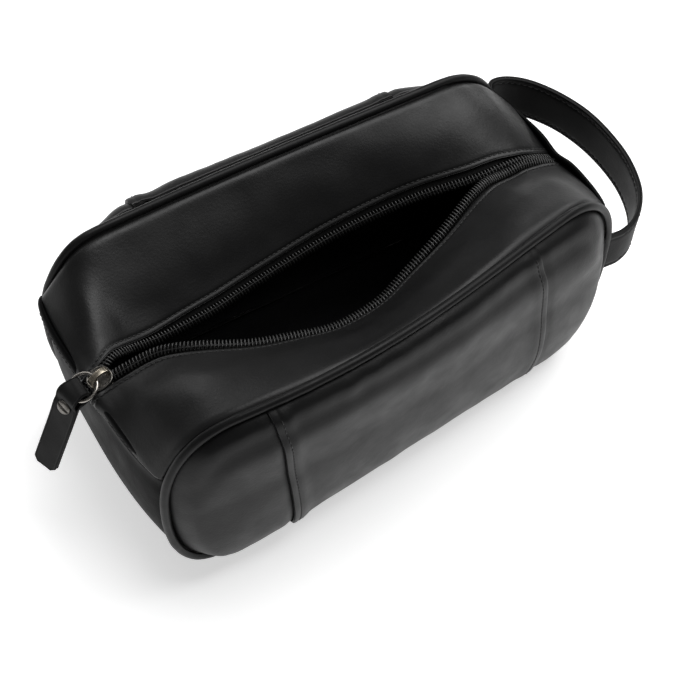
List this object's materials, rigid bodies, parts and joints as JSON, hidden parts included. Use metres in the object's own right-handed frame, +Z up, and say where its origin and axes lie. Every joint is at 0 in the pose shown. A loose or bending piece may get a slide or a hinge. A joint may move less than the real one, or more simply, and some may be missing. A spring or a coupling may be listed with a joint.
{
  "type": "leather toiletry bag",
  "caption": "Box-shaped leather wash and makeup bag with piped side panels, an open zip along the top, a leather zip pull and a carrying loop on one end.",
  "frame": {"origin": "centre of the flat underside that the bag stands on", "axes": "+X along the bag from the zip slider towards the carrying loop, front panel faces -Y, +Z up"},
  "size_m": [0.3614, 0.1512, 0.1389],
  "materials": {
    "panel_leather": "smooth semi-matt black leather",
    "flap_leather": "smooth semi-matt black leather",
    "strip_leather": "smooth semi-matt black leather",
    "piping_leather": "thin black leather over cord",
    "strap_leather": "black leather with stitched edges",
    "piping_cord": "twisted cotton cord",
    "lining_cloth": "plain woven black lining",
    "zip_tape": "woven black zip tape",
    "zip_coil": "black nylon coil",
    "dark_metal": "gunmetal plating",
    "bronze_metal": "antique bronze plating"
  },
  "bodies": {
    "bag": {"front_left_panel": "panel_leather", "front_centre_panel": "panel_leather", "front_right_panel": "panel_leather", "back_left_panel": "panel_leather", "back_centre_panel": "panel_leather", "back_right_panel": "panel_leather", "front_lining": "lining_cloth", "back_lining": "lining_cloth", "strip_lining": "lining_cloth", "front_flap_lining": "lining_cloth", "back_flap_lining": "lining_cloth", "front_piping": "piping_leather", "back_piping": "piping_leather", "front_piping_cord": "piping_cord", "back_piping_cord": "piping_cord", "end_and_base_strip": "strip_leather", "front_zip_flap": "flap_leather", "back_zip_flap": "flap_leather", "front_zip_tape": "zip_tape", "back_zip_tape": "zip_tape", "front_zip_coil": "zip_coil", "back_zip_coil": "zip_coil", "loop_back_end": "strap_leather", "loop_front_end": "strap_leather"},
    "slider": {"slider_body": "dark_metal", "slider_crown": "bronze_metal"},
    "ring": {"pull_ring": "dark_metal"},
    "pull": {"pull_strap": "strap_leather", "pull_screw": "dark_metal", "pull_screw_post": "dark_metal"},
    "loop": {"loop_strap": "strap_leather", "loop_strap_backing": "strap_leather"}
  },
  "joints": [
    {"name": "zip_slide", "type": "slide", "parent": "bag", "child": "slider", "axis": [0.9998, 0, 0.0222], "range_m": [0, 0.24]},
    {"name": "ring_swing", "type": "hinge", "parent": "slider", "child": "ring", "pos_m": [-0.1387, 0, 0.10475], "axis": [0, 1, 0], "range_deg": [0, 165]},
    {"name": "pull_swing", "type": "hinge", "parent": "ring", "child": "pull", "pos_m": [-0.15261, 0, 0.09969], "axis": [0, 1, 0], "range_deg": [-18, 18]},
    {"name": "loop_swing", "type": "hinge", "parent": "bag", "child": "loop", "pos_m": [0.149, 0.00075, 0.0755], "axis": [0, -0.9928, -0.1201], "range_deg": [-20, 25]}
  ]
}
